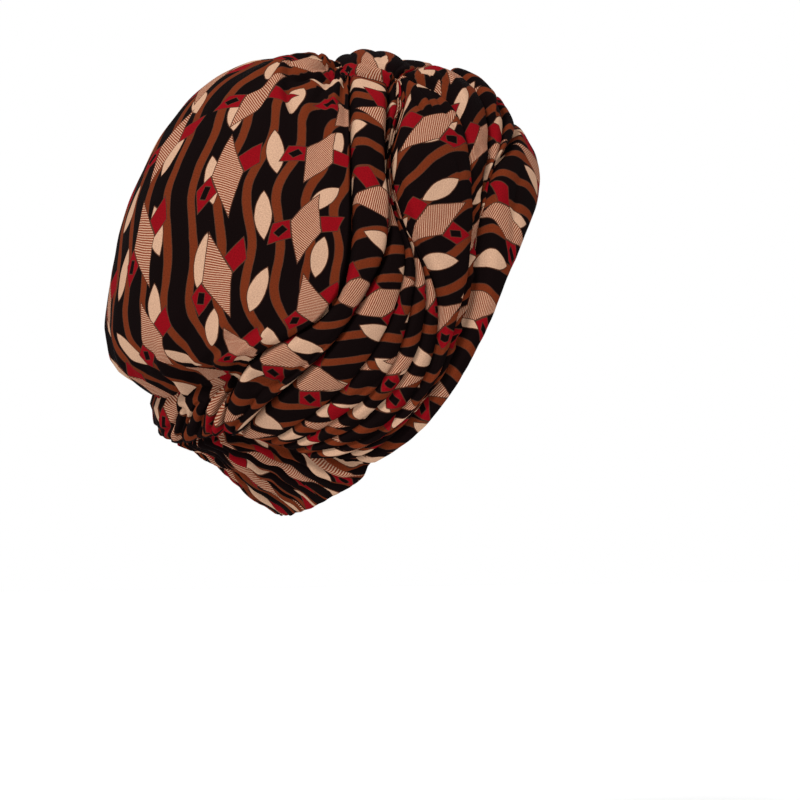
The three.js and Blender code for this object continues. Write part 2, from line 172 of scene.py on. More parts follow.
# Lift of traced folds. Each path is rows of (turn, rise, strength); d is the distance from the path.
# soft: height * exp(-(d / width)^2).
# edge: a step up of that height on the left of the path that fades over the width, and a groove.
# strand: a round ridge of that half width, height * sqrt(1 - (d / width)^2), between two grooves.
def foldLift(directions, folds):
    places = onForm(directions, np.zeros(directions.shape[:-1])).reshape(-1, 3)
    outward = directions.reshape(-1, 3)
    total = np.zeros(len(places))
    for fold in folds:
        rows = curveThrough(fold["path"], 4 * len(fold["path"]))
        line = directionOf(rows[:, :2])
        spots = onForm(line, np.zeros(len(line)))
        low = spots.min(0) - 4 * fold["width"] - 4
        high = spots.max(0) + 4 * fold["width"] + 4
        near = np.flatnonzero(np.all((places > low) & (places < high), axis=1))
        start = spots[:-1]
        step = np.diff(spots, axis=0)
        fromStart = places[near][:, None] - start
        share = np.clip(np.sum(fromStart * step, -1) / np.sum(step * step, -1), 0, 1)
        away = fromStart - share[..., None] * step
        distance = np.linalg.norm(away, axis=-1)
        nearest = np.argmin(distance, axis=1)
        pick = np.arange(len(near)), nearest
        strength = rows[nearest, 2] + share[pick] * (rows[nearest + 1, 2] - rows[nearest, 2])
        side = np.sign(np.sum(np.cross(step[nearest], away[pick]) * outward[near], -1))
        d = distance[pick] * side
        t = d / fold["width"]
        if fold["kind"] == "soft":
            shape = np.exp(-t**2)
        elif fold["kind"] == "edge":
            rise = 1 / (1 + np.exp(-np.clip(d / 0.45, -30, 30)))
            shape = rise * np.exp(-np.maximum(t, 0) ** 1.5) - 0.45 * np.exp(-((d + 1.1) / 1.3) ** 2)
        else:
            shape = np.sqrt(np.clip(1 - t**2, 0, 1))
            shape = shape - 0.45 * np.exp(-((np.abs(d) - fold["width"] - 0.5) / 0.9) ** 2)
        total[near] += fold["height"] * strength * shape
    return total.reshape(directions.shape[:-1])


# Folds and the same folds on the other side. An edge is turned round, so that it steps up the same way.
def bothSides(folds):
    other = []
    for fold in folds:
        path = [(-turn, rise, strength) for turn, rise, strength in fold["path"]]
        other.append(dict(fold, path=path[::-1] if fold["kind"] == "edge" else path))
    return folds + other


# Corners of every quad of a grid, in order round it, from an array whose first two axes are the grid.
def quadCorners(grid):
    return np.stack([grid[:-1, :-1], grid[:-1, 1:], grid[1:, 1:], grid[1:, :-1]], axis=2)


# Lengths along and across a grid of places, in metres, counted from the middle column.
def clothUv(places, middle=None, start=(0.0, 0.0)):
    across = np.linalg.norm(np.diff(places, axis=1), axis=-1)
    across = np.concatenate([np.zeros((len(places), 1)), np.cumsum(across, axis=1)], axis=1)
    middle = places.shape[1] // 2 if middle is None else middle
    across = across - across[:, middle:middle + 1]
    along = np.linalg.norm(np.diff(places[:, middle], axis=0), axis=-1)
    along = np.concatenate([[0], np.cumsum(along)])[:, None] + np.zeros_like(across)
    return np.stack([across, along], -1) * metre + np.array(start)


# The lowest lift within a few steps of every kept grid place, so that a coarse inner side stays inside.
def lowest(lift, step):
    for axis in (0, 1):
        padded = np.pad(lift, [(step, step) if k == axis else (0, 0) for k in (0, 1)], mode="edge")
        size = lift.shape[axis]
        slices = [np.take(padded, range(k, k + size), axis) for k in range(2 * step + 1)]
        lift = np.minimum.reduce(slices)
    return lift[::step, ::step]


# A closed wall of cloth over a grid of directions: a fine outer side with the given lift, a plain
# inner side on every few grid places, and a rim. faceUv is the cloth place at each quad's corners.
def closedWall(name, directions, lift, faceUv, step=3, floorLift=None):
    outer = onForm(directions, lift)
    innerLift = lowest(lift, step) - wallThickness
    if floorLift is not None:
        innerLift = np.minimum(innerLift, floorLift)
    inner = onForm(directions[::step, ::step], innerLift)
    rows, columns = outer.shape[:2]
    front = np.arange(rows * columns).reshape(rows, columns)
    back = np.arange(inner.shape[0] * inner.shape[1]).reshape(inner.shape[:2]) + rows * columns
    outerFaces = quadCorners(front).reshape(-1, 4)
    innerFaces = quadCorners(back).reshape(-1, 4)[:, ::-1]
    # The rim runs once round the grid: one face for each inner edge and the outer edges over it.
    rimFront = np.concatenate([front[0, :-1], front[:-1, -1], front[-1, :0:-1], front[:0:-1, 0]])
    rimBack = np.concatenate([back[0, :-1], back[:-1, -1], back[-1, :0:-1], back[:0:-1, 0]])
    over = np.append(rimFront, rimFront[0])
    over = np.stack([over[k:k + len(rimFront):step] for k in range(step + 1)], axis=1)
    rimFaces = np.concatenate([over[:, ::-1], rimBack[:, None], np.roll(rimBack, -1)[:, None]], axis=1)
    places = np.concatenate([outer.reshape(-1, 3), inner.reshape(-1, 3)]) * metre
    # Turn every face round if the outer side looks inward.
    corner = places[outerFaces]
    normal = np.cross(corner[:, 2] - corner[:, 0], corner[:, 3] - corner[:, 1])
    turned = np.sum(normal * (corner.mean(1) - np.array(form["middle"]) * metre)) < 0
    order = slice(None, None, -1) if turned else slice(None)
    outerUv = faceUv.reshape(-1, 4, 2)
    innerUv = quadCorners(clothUv(inner)).reshape(-1, 4, 2)[:, ::-1]
    edgeUv = np.concatenate([faceUv[:, :, 0], faceUv[:, -1:, 1]], axis=1)
    lastUv = np.concatenate([faceUv[-1:, :, 3], faceUv[-1:, -1:, 2]], axis=1)
    edgeUv = np.concatenate([edgeUv, lastUv]).reshape(-1, 2)
    rimUv = np.concatenate([edgeUv[over[:, ::-1]], edgeUv[over[:, :1]], edgeUv[over[:, -1:]]], axis=1)
    faceSets = [outerFaces[:, order], innerFaces[:, order], rimFaces[:, order]]
    uv = np.concatenate([
        outerUv[:, order].reshape(-1, 2), innerUv[:, order].reshape(-1, 2),
        rimUv[:, order].reshape(-1, 2)])
    corners = np.concatenate([faces.ravel() for faces in faceSets])
    counts = np.repeat([4, 4, step + 3], [len(faces) for faces in faceSets])
    kinds = np.repeat([0, 1, 0], [len(faces) for faces in faceSets])
    mesh = bpy.data.meshes.new(name + "_cloth")
    mesh.vertices.add(len(places))
    mesh.vertices.foreach_set("co", places.ravel())
    mesh.loops.add(len(corners))
    mesh.loops.foreach_set("vertex_index", corners.astype(np.int32))
    mesh.polygons.add(len(counts))
    starts = np.concatenate([[0], np.cumsum(counts)[:-1]])
    mesh.polygons.foreach_set("loop_start", starts.astype(np.int32))
    mesh.polygons.foreach_set("use_smooth", np.ones(len(counts), bool))
    mesh.polygons.foreach_set("material_index", kinds.astype(np.int32))
    mesh.uv_layers.new(name="cloth").data.foreach_set("uv", uv.ravel())
    mesh.update(calc_edges=True)
    for material in cloth:
        mesh.materials.append(material)
    piece = bpy.data.objects.new(name + "_cloth", mesh)
    bpy.context.scene.collection.objects.link(piece)
    triangles = int(np.sum(counts - 2))
    area = sum(polygon.area for polygon in mesh.polygons) / 2
    print("piece", name, triangles, "triangles, cloth", round(area, 4), "square metres",
          np.ptp(outerUv.reshape(-1, 2), axis=0).round(3))
    return piece


# Screen colour of 0 to 255 as linear light: ((v + 0.055) / 1.055)^2.4, and v / 12.92 for the darkest.
def linear(colour):
    shares = [v / 255 for v in colour]
    return tuple(((v + 0.055) / 1.055) ** 2.4 if v > 10 / 255 else v / 12.92 for v in shares) + (1.0,)


printColours = {
    "ground": linear((9, 4, 4)),
    "bar": linear((82, 32, 14)),
    "crimson": linear((100, 6, 13)),
    "beige": linear((154, 122, 100)),
    "hatchLine": linear((98, 42, 24)),
    "outline": linear((58, 34, 24)),
    "reverse": linear((84, 60, 50)),
}
# Sizes in millimetres of one repeat of the print: bars on the ground, petals, and hatched lozenges
# that lie on slanted crimson slabs.
motif = {
    "turnDegrees": 20.0, "wander": 2.2, "wanderScale": 45.0, "outlineWidth": 0.45,
    "barPeriod": 14.5, "barShare": 0.28, "barBend": 0.15,
    "petalCell": (28.0, 35.0), "petalHalfLength": 11.8, "petalHalfWidth": 4.1,
    "petalShift": 4.0, "petalSpin": 1.1,
    "cell": (43.0, 46.0), "cellShift": 2.5, "cellSpin": 0.55, "lozenge": (7.6, 20.0),
    "hatchPeriod": 1.15, "hatchShare": 0.43, "slab": (15.5, 5.0), "slabSlant": 0.6,
    "window": (2.9, 2.9), "windowAway": 11.0,
}


# A function that adds a math node to a tree for given numbers or sockets and returns its result.
def mathNodes(tree):
    def calc(operation, *values):
        node = tree.nodes.new("ShaderNodeMath")
        node.operation = operation
        for socket, value in zip(node.inputs, values):
            if isinstance(value, (int, float)):
                socket.default_value = value
            else:
                tree.links.new(value, socket)
        return node.outputs[0]
    return calc


# One colour laid over another where the mask is 1: under * (1 - mask) + over * mask.
def mixColour(tree, mask, under, over):
    node = tree.nodes.new("ShaderNodeMix")
    node.data_type = "RGBA"
    tree.links.new(mask, node.inputs["Factor"])
    for socket, value in ((node.inputs["A"], under), (node.inputs["B"], over)):
        if isinstance(value, tuple):
            socket.default_value = value
        else:
            tree.links.new(value, socket)
    return node.outputs["Result"]


# The print: each motif is a distance from its outline in millimetres, and is laid where that is negative.
def printedMaterial():
    material = bpy.data.materials.new("printed_jersey")
    material.use_nodes = True
    tree = material.node_tree
    surface = tree.nodes["Principled BSDF"]
    calc = mathNodes(tree)
    uvNode = tree.nodes.new("ShaderNodeUVMap")
    uvNode.uv_map = "cloth"
    # The print wanders a little with the knit.
    noise = tree.nodes.new("ShaderNodeTexNoise")
    noise.inputs["Scale"].default_value = motif["wanderScale"]
    noise.inputs["Detail"].default_value = 4.0
    tree.links.new(uvNode.outputs["UV"], noise.inputs["Vector"])
    split = tree.nodes.new("ShaderNodeSeparateXYZ")
    tree.links.new(uvNode.outputs["UV"], split.inputs["Vector"])
    wander = tree.nodes.new("ShaderNodeSeparateColor")
    tree.links.new(noise.outputs["Color"], wander.inputs["Color"])
    x = calc("DIVIDE", split.outputs["X"], metre)
    y = calc("DIVIDE", split.outputs["Y"], metre)
    x = calc("MULTIPLY_ADD", wander.outputs["Red"], motif["wander"], x)
    y = calc("MULTIPLY_ADD", wander.outputs["Green"], motif["wander"], y)

    # A place turned by an angle in radians: (x cos + y sin, y cos - x sin).
    def turned(px, py, angle):
        cosine = calc("COSINE", angle)
        sine = calc("SINE", angle)
        return (
            calc("ADD", calc("MULTIPLY", px, cosine), calc("MULTIPLY", py, sine)),
            calc("SUBTRACT", calc("MULTIPLY", py, cosine), calc("MULTIPLY", px, sine)),
        )

    # Places inside the cells of a half-drop repeat, each cell shifted and spun by its own small amount.
    def repeated(px, py, cell, shift, spin, seed):
        cx = calc("DIVIDE", px, cell[0])
        column = calc("FLOOR", cx)
        drop = calc("MULTIPLY", calc("FLOORED_MODULO", column, 2.0), 0.5)
        cy = calc("ADD", calc("DIVIDE", py, cell[1]), drop)
        key = tree.nodes.new("ShaderNodeCombineXYZ")
        for socket, value in zip(key.inputs, (column, calc("FLOOR", cy), seed)):
            if isinstance(value, float):
                socket.default_value = value
            else:
                tree.links.new(value, socket)
        chance = tree.nodes.new("ShaderNodeTexWhiteNoise")
        tree.links.new(key.outputs["Vector"], chance.inputs["Vector"])
        draws = tree.nodes.new("ShaderNodeSeparateColor")
        tree.links.new(chance.outputs["Color"], draws.inputs["Color"])
        lx = calc("MULTIPLY", calc("SUBTRACT", calc("FRACT", cx), 0.5), cell[0])
        ly = calc("MULTIPLY", calc("SUBTRACT", calc("FRACT", cy), 0.5), cell[1])
        lx = calc("ADD", lx, calc("MULTIPLY", calc("SUBTRACT", draws.outputs["Red"], 0.5), shift))
        ly = calc("ADD", ly, calc("MULTIPLY", calc("SUBTRACT", draws.outputs["Green"], 0.5), shift))
        return turned(lx, ly, calc("MULTIPLY", calc("SUBTRACT", draws.outputs["Blue"], 0.5), spin))

    # Distance from a diamond's outline: |x| / half width + |y| / half height - 1, in millimetres.
    def diamond(px, py, halfWidth, halfHeight):
        scale = halfWidth * halfHeight / math.hypot(halfWidth, halfHeight)
        wide = calc("DIVIDE", calc("ABSOLUTE", px), halfWidth)
        high = calc("DIVIDE", calc("ABSOLUTE", py), halfHeight)
        return calc("MULTIPLY", calc("SUBTRACT", calc("ADD", wide, high), 1.0), scale)

    # Distance from a petal's outline, cut by two equal circles: sqrt((|x| + radius - half width)^2 + y^2)
    # less the radius.
    def petalShape(px, py, halfLength, halfWidth):
        radius = (halfLength**2 + halfWidth**2) / (2 * halfWidth)
        across = calc("ADD", calc("ABSOLUTE", px), radius - halfWidth)
        reach = calc("SQRT", calc("ADD", calc("MULTIPLY", across, across), calc("MULTIPLY", py, py)))
        return calc("SUBTRACT", reach, radius)

    px, py = turned(x, y, math.radians(motif["turnDegrees"]))
    bend = calc("MULTIPLY", calc("SINE", calc("MULTIPLY", py, 0.12)), motif["barBend"])
    barAway = calc("SUBTRACT", calc("FRACT", calc("ADD", calc("DIVIDE", px, motif["barPeriod"]), bend)), 0.5)
    bar = calc("SUBTRACT", calc("ABSOLUTE", barAway), motif["barShare"] / 2)
    bar = calc("MULTIPLY", bar, motif["barPeriod"])
    qx, qy = repeated(px, py, motif["petalCell"], motif["petalShift"], motif["petalSpin"], 3.0)
    petal = petalShape(qx, qy, motif["petalHalfLength"], motif["petalHalfWidth"])
    lx, ly = repeated(px, py, motif["cell"], motif["cellShift"], motif["cellSpin"], 8.0)
    lozenge = diamond(lx, ly, *motif["lozenge"])
    # A slab is |y - slant * x| < half height and |x| < half width, with one window in it.
    slant = calc("MULTIPLY", lx, motif["slabSlant"])
    rise = calc("SUBTRACT", ly, slant)
    slab = calc("MULTIPLY", calc("SUBTRACT", calc("ABSOLUTE", rise), motif["slab"][1]), 0.87)
    slab = calc("MAXIMUM", slab, calc("SUBTRACT", calc("ABSOLUTE", lx), motif["slab"][0]))
    slab = calc("MAXIMUM", slab, calc("SUBTRACT", 0.8, lozenge))
    window = diamond(calc("SUBTRACT", lx, motif["windowAway"]), rise, *motif["window"])
    hatch = calc("FRACT", calc("DIVIDE", calc("ADD", ly, calc("MULTIPLY", lx, 0.5)), motif["hatchPeriod"]))

    # 1 where a distance is less than the growth, else 0.
    def inside(distance, grow=0.0):
        return calc("LESS_THAN", distance, grow)

    line = motif["outlineWidth"]
    colour = mixColour(tree, inside(bar, line * 0.8), printColours["ground"], printColours["outline"])
    colour = mixColour(tree, inside(bar), colour, printColours["bar"])
    colour = mixColour(tree, inside(petal, line), colour, printColours["outline"])
    colour = mixColour(tree, inside(petal), colour, printColours["beige"])
    colour = mixColour(tree, inside(slab, line), colour, printColours["outline"])
    colour = mixColour(tree, inside(slab), colour, printColours["crimson"])
    colour = mixColour(tree, inside(window, line * 0.7), colour, printColours["outline"])
    colour = mixColour(tree, inside(window), colour, printColours["ground"])
    colour = mixColour(tree, inside(lozenge, line), colour, printColours["outline"])
    colour = mixColour(tree, inside(lozenge), colour, printColours["beige"])
    hatched = calc("MULTIPLY", inside(lozenge), calc("GREATER_THAN", hatch, motif["hatchShare"]))
    colour = mixColour(tree, hatched, colour, printColours["hatchLine"])
    finishCloth(tree, surface, uvNode, colour)
    return material


knit = {"grainScale": 1500.0, "dyeSwing": 0.9, "dyeLeast": 0.55, "bump": 0.25, "bumpHeight": 0.0004,
        "roughness": 0.95, "specular": 0.02}


# Knit grain and slight unevenness of the dye, shared by both sides of the cloth: the colour's value is
# multiplied by grain * dyeSwing + dyeLeast, and the grain is the bump's height.
def finishCloth(tree, surface, uvNode, colour):
    speckle = tree.nodes.new("ShaderNodeTexNoise")
    speckle.inputs["Scale"].default_value = knit["grainScale"]
    speckle.inputs["Detail"].default_value = 2.0
    tree.links.new(uvNode.outputs["UV"], speckle.inputs["Vector"])
    calc = mathNodes(tree)
    bright = calc("MULTIPLY_ADD", speckle.outputs["Fac"], knit["dyeSwing"], knit["dyeLeast"])
    hue = tree.nodes.new("ShaderNodeHueSaturation")
    tree.links.new(bright, hue.inputs["Value"])
    if isinstance(colour, tuple):
        hue.inputs["Color"].default_value = colour
    else:
        tree.links.new(colour, hue.inputs["Color"])
    tree.links.new(hue.outputs["Color"], surface.inputs["Base Color"])
    bump = tree.nodes.new("ShaderNodeBump")
    bump.inputs["Strength"].default_value = knit["bump"]
    bump.inputs["Distance"].default_value = knit["bumpHeight"]
    tree.links.new(speckle.outputs["Fac"], bump.inputs["Height"])
    tree.links.new(bump.outputs["Normal"], surface.inputs["Normal"])
    surface.inputs["Roughness"].default_value = knit["roughness"]
    surface.inputs["Specular IOR Level"].default_value = knit["specular"]


# The plain inner side of the cloth.
def reverseMaterial():
    material = bpy.data.materials.new("jersey_reverse")
    material.use_nodes = True
    tree = material.node_tree
    uvNode = tree.nodes.new("ShaderNodeUVMap")
    uvNode.uv_map = "cloth"
    finishCloth(tree, tree.nodes["Principled BSDF"], uvNode, printColours["reverse"])
    return material


cloth = [printedMaterial(), reverseMaterial()]
print("scene: cloth ready")

# Creases shared with the CAD: turn from the face toward the wearer's right, and rise.
creases = {
    "crownSeam": [(93.5, 76.5), (95, 62), (95, 40), (95, 17.5), (98, 1), (105, -9.5),
                  (116, -16), (128, -21), (138, -31), (147, -42)],
    "rear": [(62, 69.5), (76.5, 55.5), (80.5, 42), (80.5, 27.5), (83, 12.5), (91.5, -4.5),
             (101.5, -18.5), (116, -30), (130.5, -38), (143, -44.5)],
    "temple": [(53, 68.5), (46.5, 59.5), (44.5, 51.5), (46, 42.5), (48.5, 31.5), (51.5, 18.5),
               (55.5, 4), (60.5, -12.5), (66.5, -30), (79, -42), (93, -48.5), (106, -52)],
    "brow": [(0, 64.5), (14, 60), (27.5, 49), (37.5, 37.5), (44.5, 25), (49.5, 11.5),
             (53.5, -4), (58, -17), (64.5, -29.5), (73.5, -40.5), (85, -48), (97, -51.5)],
    "hem": [(0, 31), (12, 27.5), (22, 22), (31.5, 15.5), (41.5, 3), (48, -10.5), (53.5, -23),
            (58.5, -33), (66, -41.5), (75, -48), (86, -53)],
}
# Creases inside the front wrap, where they fan out of the valley below the twist.
fanCreases = [
    [(60.6, 69.6), (62.2, 66.7), (67.9, 59.6), (72.9, 55.2), (77.5, 47.7), (79.5, 40.1),
     (78.9, 32.2), (77, 23.8), (75.2, 15.2), (75.8, 6.4), (78.1, -2.6), (82, -13.4), (87.9, -23),
     (100.7, -35.6), (117.7, -44), (133.4, -48.1)],
    [(59.6, 69.7), (61.2, 66.6), (66.8, 59.5), (72.6, 53.5), (77, 46.2), (78.5, 38.5),
     (77.5, 30.4), (75.5, 22.7), (72.9, 15.1), (72.1, 6.3), (73.4, -2.6), (75.5, -13.2),
     (78.8, -23.5), (86.4, -33.1), (98, -40.6), (113.2, -47), (129.2, -49.3)],
    [(58.6, 69.8), (60.3, 66.5), (65.2, 59.9), (71.6, 53.4), (76.8, 45.2), (77.8, 37.8),
     (76.8, 29.7), (74.8, 21.6), (71.9, 13.6), (69.4, 5.1), (68.8, -2.6), (69.5, -11.3),
     (72, -21.4), (77.7, -31.2), (88, -40.3), (103.5, -47.1), (124.1, -50.8)],
    [(57.4, 69.7), (59.4, 66.4), (63.3, 60), (70.4, 53.9), (75.3, 47.6), (76.8, 43), (76.7, 36.8),
     (75.7, 29.6), (73.7, 21.2), (70.4, 12.2), (67, 2.9), (65.1, -4.3), (64.7, -12), (66, -20.9),
     (69.6, -30.5), (76.3, -38.3), (87.8, -45.1), (102.3, -49.3), (119, -52)],
]
crownFirst = (180, 87)
bagTuckRise = -28.5
rollFoot = (180, -40)
wrapRows = 240
wrapLength = 240.0     # about what each wrap measures from the twist to the nape
crownShare = 17 / 20     # the crown ends at this share of the seam rail
napeLevel = -4.4     # where the ends of the wraps are pressed down to the nape band
napePress = 3.0     # over this length

seamRail = rail(directionOf(creases["crownSeam"]), wrapRows + 1)
rearRail = rail(directionOf(creases["rear"]), wrapRows + 1)
templeRail = rail(directionOf(creases["temple"]), wrapRows + 1)
fanRails = [rail(directionOf(rows), wrapRows + 1) for rows in fanCreases]


# A rail over the brow, from the left nape tip to the right one: the right half and its mirror image.
def crossingRail(rows, count):
    right = directionOf(rows)
    return rail(np.concatenate([mirrored(right[:0:-1]), right]), count)


browRail = crossingRail(creases["brow"], 2 * wrapRows + 1)


# Height across one pleat: a flat-topped arch, (1 - |2 * across^lean - 1|^flat - end^2.5)^0.75.
def arch(across, end, lean, flat):
    return np.maximum(1 - np.abs(2 * across**lean - 1) ** flat - end**2.5, 0) ** 0.75


# Distance in millimetres along the form from the first column of a grid of directions.
def acrossForm(directions):
    places = onForm(directions, np.zeros(directions.shape[:-1]))
    step = np.linalg.norm(np.diff(places, axis=1), axis=-1)
    return np.concatenate([np.zeros((len(places), 1)), np.cumsum(step, axis=1)], axis=1)


# How far an edge dives: depth * exp(-(distance / width)^2) from both sides of a grid.
def edgeDive(directions, first, last, width=1.3):
    across = acrossForm(directions)
    fromEnd = across[:, -1:] - across
    return first * np.exp(-(across / width) ** 2) + last * np.exp(-(fromEnd / width) ** 2)


# A run of pleats between neighbouring rails. The lift is level + height * shingle * arch, where the
# shingle falls from 1.25 by the pleat's slope to its far side. Each pleat has its height in
# millimetres, lean, flatness, slope, columns, the cloth place of its start, and its course: rows of
# (share along, height share, level). Crumple is rows of (share along, height of small unevenness).
# The top end is rounded like the sides over the share topRound of the length.
def pleatedPiece(name, rails, piece, folds, bothWays=False):
    blocks = []
    lifts = []
    rowCount = len(rails[0])
    along = np.abs(np.linspace(-1, 1, rowCount)) if bothWays else np.linspace(0, 1, rowCount)
    topRound = piece["topRound"]
    topEnd = np.clip(1 - along / topRound, 0, 1)[:, None] if topRound else np.zeros((rowCount, 1))
    for i, pleat in enumerate(piece["pleats"]):
        across = np.linspace(0, 1, pleat["columns"] + 1)
        height = readTable(pleat["course"], along, 1)[:, None] * pleat["height"]
        level = readTable(pleat["course"], along, 2)[:, None]
        blocks.append(between(rails[i][:, None], rails[i + 1][:, None], across[None, :]))
        shingle = 1.25 - pleat["slope"] * across
        block = height * shingle * arch(across, topEnd, pleat["lean"], pleat["flat"])
        if "crumple" in pleat:
            block = block + readTable(pleat["crumple"], along)[:, None] * waves(blocks[-1] * 100, 9)
        lifts.append(level + block)
    # Neighbouring pleats share their crease column, a little below the lower of the two levels.
    directions = [blocks[0]]
    lift = [lifts[0]]
    for i in range(1, len(blocks)):
        shared = np.minimum(lift[-1][:, -1], lifts[i][:, 0]) - piece["creaseDepth"]
        lift[-1] = np.concatenate([lift[-1][:, :-1], shared[:, None]], axis=1)
        directions.append(blocks[i][:, 1:])
        lift.append(lifts[i][:, 1:])
    directions = np.concatenate(directions, axis=1)
    lift = np.concatenate(lift, axis=1) - edgeDive(directions, *piece["dives"])
    places = directions * 100
    ripple = piece["ripple"]
    lift = lift + foldLift(directions, folds) + ripple * waves(places, 26) + 0.4 * ripple * waves(places, 9)
    # The ends at the nape: lift * (1 - pressed) + nape level * pressed.
    pressed = np.exp(-((1 - along) * wrapLength / napePress) ** 2)[:, None]
    lift = lift * (1 - pressed) + napeLevel * pressed
    outer = onForm(directions, lift)
    faceUv = []
    first = 0
    for pleat in piece["pleats"]:
        block = outer[:, first:first + pleat["columns"] + 1]
        faceUv.append(quadCorners(clothUv(block, start=pleat["start"])))
        first += pleat["columns"]
    # The cloth of the wraps lies with its length across them.
    return closedWall(name, directions, lift, np.concatenate(faceUv, axis=1)[..., ::-1])


# The rails and folds of a wrap, mirrored for the wearer's left side.
def wrapPiece(name, rails, piece, side):
    folds = piece["folds"]
    if side == "left":
        rails = [mirrored(r) for r in rails]
        folds = bothSides(folds)[len(folds):]
    return pleatedPiece(name, rails, piece, folds)


wideCourse = [(0, 0.3, -4), (0.05, 0.8, -1.5), (0.15, 1, 0), (0.75, 1, 0), (1, 0.6, 0.3)]
fanCourse = [(0, 0.4, -3), (0.08, 0.5, -3.5), (0.15, 0.4, -6), (0.33, 0.5, -6), (0.4, 0.8, -2.5),
             (0.48, 1, -0.5), (0.8, 1, -0.5), (1, 0.6, 0.3)]
panelCourse = [(0, 0.3, -2.5), (0.06, 0.8, -0.5), (0.18, 1, 0.5), (0.6, 1, 0.5), (0.8, 1, 0),
               (1, 0.6, 0.3)]
recessCourse = [(0, 1, 0.5), (0.12, 1.1, 0.5), (0.22, 0.8, -1), (0.3, 0.4, -3.2), (0.6, 0.4, -3.2),
                (0.72, 0.8, -0.5), (1, 0.6, 0.3)]
browCourse = [(0, 1.3, 0.4), (0.12, 1.3, 0), (0.3, 0.95, 0.2), (0.8, 0.9, 0), (1, 0.5, 0.3)]
browTopCourse = [(0, 1, 0), (0.14, 0.8, 0), (0.22, 0.4, -0.5), (0.28, 0.1, -1), (1, 0, -1)]
crumple = [(0.16, 0), (0.24, 0.8), (0.6, 0.8), (0.75, 0)]

# Folds are traced on the wearer's right: turn, rise, strength. Flat sizes are in metres.
rearWrap = {
    "flat": (0.03, 0.235), "held": "draped",
    "dives": (3.0, 3.0), "ripple": 0.3, "topRound": 0.05, "creaseDepth": 1.6,
    "pleats": [
        {"height": 3.9, "lean": 0.95, "flat": 3.5, "slope": 0.3, "columns": 54, "course": wideCourse,
         "start": (0.05, 0.01)},
    ],
    "folds": [
        {"kind": "edge", "width": 7.0, "height": 3.0, "path": [
            (86.9, 2.9, 0), (98, -13.4, 0.5), (114.8, -27, 1), (128, -32.7, 1), (137.7, -39.5, 1)]},
        {"kind": "soft", "width": 4.5, "height": -4.5, "path": [(127.9, -27.8, 1), (121.9, -28.4, 0.8)]},
        {"kind": "soft", "width": 4.0, "height": 3.0, "path": [
            (131.6, -29.4, 0.9), (134.5, -33.8, 1), (138.4, -39.3, 0.8)]},
        {"kind": "soft", "width": 1.4, "height": -2.0, "path": [
            (81.6, 73.2, 0.6), (66, 72.6, 1), (60.2, 69.6, 1)]},
        {"kind": "soft", "width": 3.0, "height": 1.0, "path": [
            (88, 58, 0), (88, 45, 1), (87.5, 30, 0.8), (88, 14, 0)]},
    ],
}
frontWrap = {
    "flat": (0.085, 0.24), "held": "gathered",
    "dives": (3.0, 3.0), "ripple": 0.3, "topRound": 0.05, "creaseDepth": 1.6,
    "pleats": [
        {"height": 3.8, "lean": 0.85, "flat": 2.8, "slope": 0.6, "columns": 21, "course": fanCourse,
         "start": (0.13, 0.03)},
        {"height": 3.6, "lean": 0.8, "flat": 2.6, "slope": 0.6, "columns": 18, "course": fanCourse,
         "start": (0.19, 0.02)},
        {"height": 3.6, "lean": 0.85, "flat": 2.6, "slope": 0.6, "columns": 18, "course": fanCourse,
         "start": (0.22, 0.01)},
        {"height": 3.4, "lean": 0.85, "flat": 2.6, "slope": 0.6, "columns": 18, "course": fanCourse,
         "start": (0.26, 0.03)},
        {"height": 5.0, "lean": 0.85, "flat": 5.0, "slope": 0.55, "columns": 48, "course": panelCourse,
         "start": (0.31, 0.0)},
        {"height": 4.2, "lean": 0.9, "flat": 3.0, "slope": 0.5, "columns": 30, "course": recessCourse,
         "start": (0.38, 0.05), "crumple": crumple},
    ],
    "folds": [
        {"kind": "strand", "width": 2.7, "height": 2.6, "path": [
            (61, 66.6, 0.9), (60.8, 63, 1), (60.2, 58.8, 1), (58.9, 55.2, 0.8), (57.7, 52, 0)]},
        {"kind": "strand", "width": 1.8, "height": 2.0, "path": [
            (54.5, 67.9, 0.9), (49, 65.6, 1), (45.2, 62.6, 1), (44.2, 58.7, 0.8), (44.5, 54.1, 0)]},
        {"kind": "edge", "width": 6.0, "height": 2.0, "path": [
            (30.6, 65.5, 0.6), (37.2, 58.5, 1), (42.1, 52.2, 0.7), (44, 46, 0)]},
        {"kind": "edge", "width": 6.0, "height": 1.8, "path": [
            (48.3, 59.2, 0.5), (50.3, 52.5, 1), (49.1, 46.6, 0.8), (50.9, 41.4, 0)]},
        {"kind": "soft", "width": 1.5, "height": -1.2, "path": [
            (55, 40.1, 0), (54, 36, 1), (53.8, 32.4, 0)]},
        {"kind": "soft", "width": 1.8, "height": -1.2, "path": [
            (60.2, 45.5, 0), (54.2, 43.8, 1), (48.8, 41.1, 0.2)]},
        {"kind": "edge", "width": 4.0, "height": 1.4, "path": [
            (77.3, -25, 0), (86.5, -31, 1), (95.3, -35.3, 1), (104, -37.9, 0.3)]},
        {"kind": "edge", "width": 4.0, "height": 1.6, "path": [
            (77.5, -34.2, 0.3), (85, -39.1, 1), (93.6, -42.8, 1), (104.3, -45.9, 0)]},
    ],
}
pieces = {}
for side in ("right", "left"):
    pieces["rear_wrap_" + side] = wrapPiece("rear_wrap_" + side, [seamRail, rearRail], rearWrap, side)
    pieces["front_wrap_" + side] = wrapPiece(
        "front_wrap_" + side, [rearRail] + fanRails + [templeRail, browRail[wrapRows:]], frontWrap, side)

